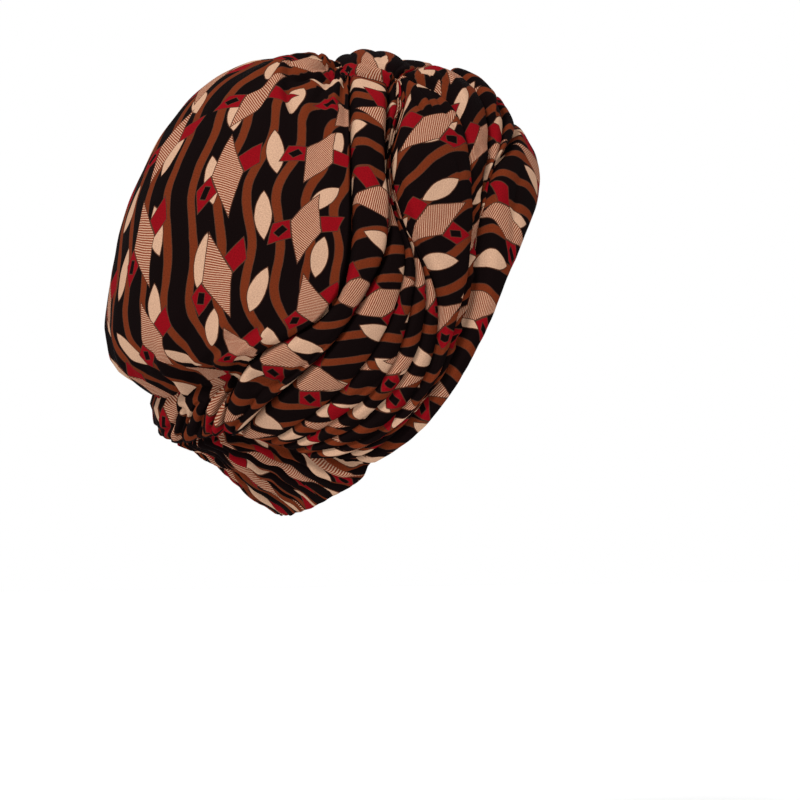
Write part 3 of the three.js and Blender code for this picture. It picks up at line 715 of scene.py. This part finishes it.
browBand = {
    "flat": (0.045, 0.44), "held": "draped",
    "dives": (3.0, 1.6), "ripple": 0.35, "topRound": 0.0, "creaseDepth": 1.6,
    # The rounded hem bulges past its line at the sides: share of the band's width, from the middle on.
    "hemShares": [(0, 1.0), (0.1, 0.98), (0.2, 0.985), (0.3, 0.985), (0.38, 0.96), (0.46, 0.88),
                  (0.55, 0.8), (0.7, 0.75), (0.8, 0.79), (0.9, 0.87), (1, 0.88)],
    # Share of the band's width where its two upper pleats end, from the middle to the nape tip.
    "edges": [(0, 0.37, 0.6), (0.1, 0.33, 0.5), (0.18, 0.2, 0.33), (0.24, 0.1, 0.17), (0.3, 0.03, 0.06),
              (0.4, 0.012, 0.025), (1, 0.012, 0.025)],
    "pleats": [
        {"height": 5.8, "lean": 0.85, "flat": 2.6, "slope": 0.6, "columns": 30, "course": browTopCourse,
         "start": (0.47, 0.0)},
        {"height": 5.4, "lean": 0.85, "flat": 2.6, "slope": 0.6, "columns": 21, "course": browTopCourse,
         "start": (0.50, 0.02)},
        {"height": 4.6, "lean": 0.85, "flat": 4.2, "slope": 0.4, "columns": 60, "course": browCourse,
         "start": (0.56, 0.01)},
    ],
    "folds": [
        {"kind": "edge", "width": 9.0, "height": 2.6, "path": [
            (42.8, 27.9, 0), (38.5, 34.6, 0.6), (30.8, 38.4, 1), (19.5, 41.2, 1), (5.6, 44.3, 1)]},
        {"kind": "edge", "width": 7.0, "height": 1.8, "path": [
            (35.8, 41.3, 0.2), (25, 48.5, 1), (3.9, 52.8, 1)]},
        {"kind": "soft", "width": 2.2, "height": -1.4, "path": [
            (46, 18, 0), (50.5, 6, 1), (54, -8, 1), (59, -20, 0)]},
        {"kind": "soft", "width": 2.6, "height": -1.3, "path": [
            (24, 34, 0), (33, 27, 1), (40, 14, 0.8), (45, 2, 0)]},
    ],
}
browAlong = np.abs(np.linspace(-1, 1, 2 * wrapRows + 1))
hemRail = crossingRail(creases["hem"], 2 * wrapRows + 1)
hemRail = between(browRail, hemRail, readTable(browBand["hemShares"], browAlong))
browRails = [browRail] + [
    between(browRail, hemRail, readTable(browBand["edges"], browAlong, column)) for column in (1, 2)]
browRails = [r[::2] for r in browRails + [hemRail]]
pieces["brow_band"] = pleatedPiece("brow_band", browRails, browBand, bothSides(browBand["folds"]), True)
print("scene: wraps ready")


# How far past its end an arc between two rows of directions must go for the underlap, as a share:
# 1 + underlap / length of the arc.
def overShare(start, end):
    angle = np.arccos(np.clip(np.sum(start * end, -1), -1, 1))
    return (1 + underlap / (angle * meanReach))[..., None]


# A row of directions from the right crown seam over the middle of the back to the left one, with
# the underlap at both ends. Its shares are -1 and 1 at the seams.
def acrossBack(middle, seam, rightColumns, leftColumns):
    over = overShare(middle, seam)
    rightShare = np.linspace(1, 0, rightColumns + 1)[None, :] * over
    leftShare = np.linspace(0, 1, leftColumns + 1)[None, 1:] * over
    right = between(middle[:, None], seam[:, None], rightShare)
    left = between(middle[:, None], mirrored(seam)[:, None], leftShare)
    return np.concatenate([right, left], axis=1), np.concatenate([-rightShare, leftShare], axis=1)


# The lift blended into a set lower level where cloth goes under its neighbour at both sides of a
# grid: lift * free + level * (1 - free).
def tuckedSides(directions, lift, level):
    across = acrossForm(directions)
    fromEdge = np.minimum(across, across[:, -1:] - across)
    free = smoothStep(underlap - 1.0, underlap + 1.2, fromEdge)
    return lift * free + level * (1 - free)


# Level of the cloth that goes under the edge of a rear wrap, at a share along the crown seam: 4 mm
# below the wrap's own level.
def seamLevel(along):
    return readTable(wideCourse, along, 2) - 4.0


# A rail that goes on straight for the underlap before its first direction.
def startedEarly(rows, count):
    step = unit(rows[0] - rows[1]) * underlap / meanReach
    return rail(np.concatenate([(rows[0] + step)[None], rows]), count)


# Hollows at the tuck, shared by the crown and the roll below it.
tuckHollows = [
    {"kind": "soft", "width": 8.5, "height": -8.0, "path": [
        (151, -25.5, 0.8), (146, -27.5, 1), (143, -31, 0.6)]},
    {"kind": "soft", "width": 4.5, "height": -5.0, "path": [(127.9, -27.8, 1), (121.9, -28.4, 0.8)]},
]
crown = {
    "flat": (0.27, 0.22), "held": "gathered", "rows": 240, "columns": (213, 141),
    # Level and gathering from the twist down to the tuck: share down, level, relief.
    "course": [(0, -6.6, 1.2), (0.025, -6.2, 1.4), (0.1, -1.0, 1.5), (0.19, 1.2, 1.1), (0.31, 0.9, 0.5),
               (0.5, 0, 0.25), (0.72, 1.2, 0.5), (0.81, 2.4, 1.2), (0.87, 1.4, 1.8), (0.9, -1.4, 1.9),
               (0.93, -6, 1.8), (1, -11, 0.8)],
    "gathers": 4.5, "fineGathers": 10.5, "fineHeight": 0.35, "unevenness": 0.6, "crinkle": 0.12,
    "deepest": -11.0,
    # Gathers under the twist and hollows where the bag is drawn into the tuck.
    "folds": [
        {"kind": "soft", "width": 4.5, "height": 3.6, "path": [
            (143.1, 73.9, 0.5), (135.9, 66.1, 1), (133.2, 58.5, 1), (130.5, 53.5, 0.9), (125.8, 49.3, 0.6),
            (120.7, 44.9, 0)]},
        {"kind": "edge", "width": 6.0, "height": 3.2, "path": [
            (115.5, 48.7, 0), (121.4, 52.5, 0.6), (125.9, 56, 1), (129.4, 60.7, 1), (135.5, 67.6, 0.6)]},
        {"kind": "soft", "width": 5.5, "height": 2.8, "path": [(137.3, 79.2, 0.6), (125.9, 70.4, 1)]},
        {"kind": "soft", "width": 1.8, "height": -3.0, "path": [
            (127.6, 63.6, 0.5), (125, 66, 1), (117.1, 67.9, 1), (107.8, 69.4, 1), (102.2, 67.8, 0.5)]},
        {"kind": "strand", "width": 1.8, "height": 1.8, "path": [
            (145.4, 83.1, 0.6), (113.2, 76.1, 1), (103.6, 70.7, 0.8)]},
        {"kind": "soft", "width": 6.0, "height": 2.2, "path": [
            (133.4, 82.6, 1), (147.4, 75, 1), (149.8, 63.6, 0.7), (152.9, 53.9, 0)]},
        {"kind": "soft", "width": 3.0, "height": -2.0, "path": [
            (110.6, 77, 1), (111.7, 63, 0.9), (110.2, 49.8, 0.5), (107, 36.3, 0)]},
        {"kind": "soft", "width": 3.2, "height": 2.2, "path": [
            (103.3, 69.8, 1), (103.4, 58.8, 0.8), (103.3, 47.7, 0.4), (101.6, 35.3, 0)]},
        {"kind": "soft", "width": 4.0, "height": 3.2, "path": [
            (134, -2, 0), (136.5, -12, 0.7), (139.1, -25.4, 1)]},
        {"kind": "soft", "width": 3.5, "height": 3.2, "path": [
            (153, -12, 0), (155.8, -21.2, 0.6), (157.1, -31.9, 1)]},
        {"kind": "soft", "width": 3.2, "height": 2.6, "path": [
            (119, -4, 0), (124.7, -14.9, 0.7), (128.4, -21.9, 1)]},
        {"kind": "soft", "width": 3.0, "height": -2.4, "path": [
            (143, -6, 0), (148, -18.2, 0.7), (148.9, -26, 1)]},
        {"kind": "soft", "width": 5.0, "height": 2.4, "path": [
            (170, 2, 0), (171, -14, 0.8), (170.6, -30, 1)]},
    ],
}


# The crown's lift is level + relief * (cos(gathers) + fine height * cos(fine gathers)) + folds +
# unevenness, and never below the deepest. Its last rows go under the rear roll.
def crownPiece(piece):
    seam = startedEarly(seamRail[:int(wrapRows * crownShare) + 13:6], piece["rows"] + 1)
    back = directionOf([crownFirst, (180, 60), (180, 15), (180, bagTuckRise - 3)])
    back = startedEarly(back, piece["rows"] + 1)
    directions, across = acrossBack(back, seam, *piece["columns"])
    at = np.linspace(0, 1, piece["rows"] + 1)[:, None]
    share = np.minimum(np.abs(across), 1)
    places = directions * 100
    level = readTable(piece["course"], at, 1)
    relief = readTable(piece["course"], at, 2) * (0.65 + 0.35 * waves(places, 55))
    turns = piece["gathers"] * share + 0.22 * waves(places, 75)
    gather = np.cos(2 * math.pi * turns + 1.3 * np.sin(5 * across))
    fine = np.cos(2 * math.pi * (piece["fineGathers"] * share + 0.3 * waves(places, 60)))
    edge = np.clip((1 - share) * 8, 0, 1)
    lift = level * (0.4 + 0.6 * edge) + relief * (gather + piece["fineHeight"] * fine) * edge
    lift = lift + foldLift(directions, bothSides(piece["folds"] + tuckHollows))
    lift = lift + piece["unevenness"] * waves(places, 42)
    lift = np.maximum(lift, piece["deepest"]) + piece["crinkle"] * waves(places, 10)
    side = seamLevel(0.9 * at) + foldLift(directions, bothSides(tuckHollows))
    side = side - 1.8 * smoothStep(0.88, 0.94, at)
    lift = tuckedSides(directions, lift, np.maximum(side, piece["deepest"]))
    outer = onForm(directions, lift)
    return closedWall("crown", directions, lift, quadCorners(clothUv(outer, middle=piece["columns"][0])))


rearRoll = {
    "flat": (0.165, 0.03), "held": "gathered", "rows": 90, "columns": (210, 150),
    "printStart": (0.11, 0.17), "printScale": (1.5, 1),
    # Level down the roll, fullest low down: share down, level.
    "course": [(0, -10), (0.1, -7.5), (0.2, -4.6), (0.35, -2.6), (0.6, 0.6), (0.82, 2.8), (0.94, 1.6),
               (1, -0.5)],
    "unevenness": 0.6, "deepest": -10.8,
    "folds": [
        {"kind": "soft", "width": 8.0, "height": 2.4, "path": [(170.6, -31.4, 1), (170.1, -36.6, 1)]},
        {"kind": "strand", "width": 2.3, "height": 2.8, "path": [
            (159.6, -34.4, 0.8), (163, -37.5, 1), (166, -40.6, 0.8)]},
        {"kind": "strand", "width": 2.8, "height": 3.0, "path": [
            (151.6, -34.2, 0.8), (155.5, -37.4, 1), (159.4, -40.5, 0.8)]},
        {"kind": "strand", "width": 2.6, "height": 2.8, "path": [
            (140.2, -29.3, 0.8), (146.3, -33.5, 1), (149.8, -39.6, 1)]},
        {"kind": "strand", "width": 2.6, "height": 2.8, "path": [
            (137, -30.7, 0.8), (142.9, -35.4, 1), (147.3, -40.9, 0.9)]},
        {"kind": "soft", "width": 1.6, "height": -2.4, "path": [
            (174, -37, 0.4), (168, -37, 1), (162, -36, 0.4)]},
    ],
}


# The rear roll's lift is level + folds + unevenness, between the tuck and the roll's foot.
def rollPiece(piece):
    tuck = directionOf((180, bagTuckRise))
    foot = directionOf(rollFoot)
    at = np.linspace(0, 1, piece["rows"] + 1)
    seam = unit(curveThrough(seamRail[int(wrapRows * crownShare)::4], piece["rows"] + 1))
    middle = between(tuck[None, :], foot[None, :], at)
    directions, across = acrossBack(middle, seam, *piece["columns"])
    at = at[:, None]
    lift = readTable(piece["course"], at) + piece["unevenness"] * waves(directions * 100, 16)
    lift = lift + foldLift(directions, bothSides(piece["folds"] + tuckHollows))
    side = seamLevel(crownShare + (1 - crownShare) * at) + foldLift(directions, bothSides(tuckHollows))
    deepest = piece["deepest"]
    lift = tuckedSides(directions, np.maximum(lift, deepest), np.maximum(side, deepest))
    uv = clothUv(onForm(directions, 0 * lift), start=piece["printStart"]) * piece["printScale"]
    return closedWall("rear_roll", directions, lift, quadCorners(uv))


napeBand = {
    "flat": (0.215, 0.065), "held": "gathered", "rows": 60, "halfColumns": 360,
    "printStart": (0.23, 0.31), "printScale": (1.2, 1),
    "top": [(130, -43.5), (147, -39.5), (163, -38.5), (180, -38)],
    "hem": [(80, -49), (85, -52.7), (88, -54.9), (92, -57), (98, -59.6), (105, -62), (126.5, -68.2),
            (150, -71.5), (180, -72)],
    "strands": 21, "height": 3.4, "knuckleHeight": 0.8, "knuckles": 3.3,
    "hiddenCloth": 0.008,     # metres of cloth folded away in each valley
    # Where each strand starts on the top edge and ends on the hem, as shares of both.
    "strandEnds": [(0, 0), (0.22, 0.06), (0.32, 0.1), (0.42, 0.16), (0.51, 0.3), (0.61, 0.48),
                   (0.71, 0.72), (0.85, 0.9), (1, 1)],
    # Level down the band, as rows of (share down, level), and along its hem from the nape tip.
    "course": [(0, -1.6), (0.3, -3.6), (0.6, -2.8), (0.82, -0.6), (1, 0)],
    "hemCourse": [(0, 4.0), (0.22, 4.0), (0.3, 1.5), (0.36, -1.0), (1, -0.6)],
    # Turn and rise of the ends of the wraps, which lie over the band.
    "wrapEnds": [(86, -53), (97, -51.5), (106, -52), (119, -52), (133.5, -48), (143, -44.5),
                 (147, -42), (163, -41.5), (180, -40)],
    "hiddenLevel": -3.6,     # under the wraps
}


# How far directions lie below the ends of the wraps, in millimetres along the form, less 3.
def belowWraps(directions, wrapEnds):
    turn = np.degrees(np.arctan2(np.abs(directions[..., 0]), -directions[..., 1]))
    rise = np.degrees(np.arcsin(directions[..., 2]))
    return np.radians(readTable(wrapEnds, turn) - rise) * reachOf(directions) - 3.0


# The nape band's lift is height * |sin(pi * phase)|^0.6 + level + knuckles, where the phase counts
# the strands. The gathered cloth between strands is folded into the valleys.
def bandPiece(piece):
    half = piece["halfColumns"]
    share = np.linspace(0, 1, half + 1)
    top = rail(directionOf(piece["top"]), half + 1)
    hemFine = rail(directionOf(piece["hem"]), 2 * half + 1)
    hem = hemFine[np.round(readTable(piece["strandEnds"], share) * 2 * half).astype(int)]
    whole = [np.concatenate([edge, mirrored(edge[-2::-1])]) for edge in (top, hem)]
    at = np.linspace(0, 1, piece["rows"] + 1)
    directions = between(whole[0][None, :], whole[1][None, :], at[:, None])
    at = at[:, None]
    places = directions * 100
    phase = np.concatenate([share, 2 - share[-2::-1]])[None, :] * piece["strands"]
    phase = phase + 0.35 * waves(places, 34)
    strand = np.abs(np.sin(math.pi * phase)) ** 0.6
    shown = np.clip(belowWraps(directions, piece["wrapEnds"]) / 2.5, 0, 1)
    height = (piece["height"] + 0.8 * waves(places, 25)) * (1 - 0.85 * smoothStep(0.72, 1, at))
    fromTip = 1 - np.abs(np.linspace(-1, 1, 2 * half + 1))
    level = readTable(piece["course"], at) + at**2 * readTable(piece["hemCourse"], fromTip)
    # The rows of gathering make low knuckles down each strand.
    knuckle = np.cos(2 * math.pi * (piece["knuckles"] * at + 0.35 * waves(places, 45)))
    level = level + piece["knuckleHeight"] * knuckle * (1 - at**4)
    lift = (1 - shown) * piece["hiddenLevel"] + shown * (strand * height + level)
    lift = lift + 0.25 * waves(places, 8)
    # Cloth hidden in the valleys: hidden * (phase + sin(2 pi phase) / (2 pi)), twice.
    stair = phase
    for _ in range(2):
        stair = stair + np.sin(2 * math.pi * stair) / (2 * math.pi)
    uv = clothUv(onForm(directions, 0 * lift), start=piece["printStart"]) * piece["printScale"]
    uv[..., 0] += piece["hiddenCloth"] * stair
    return closedWall("nape_band", directions, lift, quadCorners(uv))


pieces["crown"] = crownPiece(crown)
pieces["rear_roll"] = rollPiece(rearRoll)
pieces["nape_band"] = bandPiece(napeBand)
print("scene: crown, roll and band ready")


# Direction of an angle to the side and an angle round the ear line:
# (-sin side, -cos side * cos around, cos side * sin around).
def overTop(rows):
    side, around = np.radians(np.asarray(rows, float)).T
    return np.stack([-np.sin(side), -np.cos(side) * np.cos(around), np.cos(side) * np.sin(around)], axis=1)


# Directions along great circles from corner to corner, the same number to each leg.
def chords(corners, count):
    legs = len(corners) - 1
    place = np.linspace(0, legs, count)
    leg = np.minimum(place.astype(int), legs - 1)
    corners = np.array(corners)
    return between(corners[leg], corners[leg + 1], place - leg)


hub = rearRail[0]
hubFront = templeRail[0]
# Both rolls meet in one valley: angle to the side, angle round the ear line.
twistRolls = {
    "steps": 150, "columns": 75, "valley": [(17, 79), (9, 72.5), (0, 76), (-9, 80), (-17, 79)],
    "height": 8.0, "foot": -4.5, "floor": -5.8, "strandHeight": 1.6,
    "twist_roll_front": {
        "flat": (0.022, 0.075), "held": "gathered", "fullness": 0.8, "start": (0.4, 0.2),
        "edge": [hubFront, browRail[wrapRows], mirrored(hubFront)]},
    "twist_roll_rear": {
        "flat": (0.036, 0.078), "held": "gathered", "fullness": 1.0, "start": (0.52, 0.23),
        "edge": [hub, seamRail[0], directionOf(crownFirst), mirrored(seamRail[0]), mirrored(hub)]},
    "folds": [
        {"kind": "soft", "width": 1.5, "height": -2.4, "path": [
            (79.4, 79.5, 0.6), (68.9, 75.6, 1), (59.9, 72.6, 1), (53.5, 69.3, 1), (46.2, 67.5, 0.6)]},
    ],
}


# A roll between the valley and its outer edge: height * swell along * sqrt(sin(pi * across)) + foot,
# with strands that turn round it.
def twistPiece(name, piece):
    roll = piece[name]
    valley = rail(overTop(piece["valley"]), piece["steps"] + 1)
    outerEdge = chords(roll["edge"], piece["steps"] + 1)
    across = np.linspace(0, 1, piece["columns"] + 1)[None, :] * overShare(valley, outerEdge)
    directions = between(valley[:, None], outerEdge[:, None], across)
    across = np.minimum(across, 1)
    along = np.linspace(0, 1, piece["steps"] + 1)[:, None]
    swell = np.sin(math.pi * (0.12 + 0.76 * along)) ** 0.6
    arched = np.sin(math.pi * across).clip(0) ** 0.5
    lift = piece["height"] * roll["fullness"] * swell * arched + piece["foot"]
    turning = np.abs(np.sin(math.pi * (3 * across + 1.4 * along)))
    lift = lift + piece["strandHeight"] * swell * (turning**0.7 - 0.7)
    lift = lift + foldLift(directions, bothSides(piece["folds"]))
    faceUv = quadCorners(clothUv(onForm(directions, lift), start=roll["start"]))
    return closedWall(name, directions, lift, faceUv, floorLift=piece["floor"])


pieces["twist_roll_front"] = twistPiece("twist_roll_front", twistRolls)
pieces["twist_roll_rear"] = twistPiece("twist_roll_rear", twistRolls)
print("scene: twist ready")

for name, piece in pieces.items():
    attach(piece, "root")
    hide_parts(name)

# Camera angles in degrees and distances in metres. The frame at the target is frameWidth wide.
view = {"azimuth": 262.0, "elevation": 3.0, "distance": 2.2, "across": 0.0025, "above": -0.161,
        "frameWidth": 0.4, "sensor": 36.0}
azimuth = math.radians(view["azimuth"])
elevation = math.radians(view["elevation"])
back = Vector((
    math.sin(azimuth) * math.cos(elevation), -math.cos(azimuth) * math.cos(elevation),
    math.sin(elevation)))
right = Vector((math.cos(azimuth), math.sin(azimuth), 0.0))
up = back.cross(right)
target = right * view["across"] + up * view["above"]
camera = bpy.data.objects.new("camera", bpy.data.cameras.new("camera"))
camera.data.sensor_width = view["sensor"]
camera.data.lens = view["sensor"] * view["distance"] / view["frameWidth"]
camera.data.clip_end = 50.0
camera.matrix_world = Matrix((
    (right.x, up.x, back.x, target.x + back.x * view["distance"]),
    (right.y, up.y, back.y, target.y + back.y * view["distance"]),
    (right.z, up.z, back.z, target.z + back.z * view["distance"]),
    (0, 0, 0, 1),
))
bpy.context.scene.collection.objects.link(camera)
bpy.context.scene.camera = camera

floorSetting = {"height": -0.4, "reach": 1.5, "colour": (0.93, 0.93, 0.93, 1.0), "roughness": 0.9,
                "specular": 0.1}
height = floorSetting["height"]
reach = floorSetting["reach"]
floorMesh = bpy.data.meshes.new("floor")
floorMesh.from_pydata(
    [(-reach, -reach, height), (reach, -reach, height), (reach, reach, height), (-reach, reach, height)],
    [], [(0, 1, 2, 3)])
floorWhite = bpy.data.materials.new("floor_white")
floorWhite.use_nodes = True
floorSurface = floorWhite.node_tree.nodes["Principled BSDF"]
floorSurface.inputs["Base Color"].default_value = floorSetting["colour"]
floorSurface.inputs["Roughness"].default_value = floorSetting["roughness"]
floorSurface.inputs["Specular IOR Level"].default_value = floorSetting["specular"]
floorMesh.materials.append(floorWhite)
floor = bpy.data.objects.new("floor", floorMesh)
bpy.context.scene.collection.objects.link(floor)

world = bpy.data.worlds.new("studio")
bpy.context.scene.world = world
world.use_nodes = True
world.node_tree.nodes["Background"].inputs["Color"].default_value = (1.0, 1.0, 1.0, 1.0)
world.node_tree.nodes["Background"].inputs["Strength"].default_value = 1.0

# Lights by their distance back toward the camera, to its right and up, in metres, and power in watts.
lights = {
    "key": {"back": 1.1, "right": -0.9, "up": 1.5, "size": 0.6, "power": 50.0},
    "fill": {"back": 1.3, "right": 1.2, "up": 0.4, "size": 1.0, "power": 8.0},
}
lightAim = Vector((0.0, 0.03, -0.1))


# A round area light that looks from its place at the middle of the wrap.
def softLight(name, light):
    lamp = bpy.data.objects.new(name, bpy.data.lights.new(name, "AREA"))
    lamp.data.shape = "DISK"
    lamp.data.size = light["size"]
    lamp.data.energy = light["power"]
    lamp.location = back * light["back"] + right * light["right"] + Vector((0, 0, light["up"]))
    lamp.rotation_euler = (lightAim - lamp.location).to_track_quat("-Z", "Y").to_euler()
    bpy.context.scene.collection.objects.link(lamp)


for name, light in lights.items():
    softLight(name, light)
bpy.context.scene.view_settings.view_transform = "Standard"
print("scene: camera, floor and lights ready")
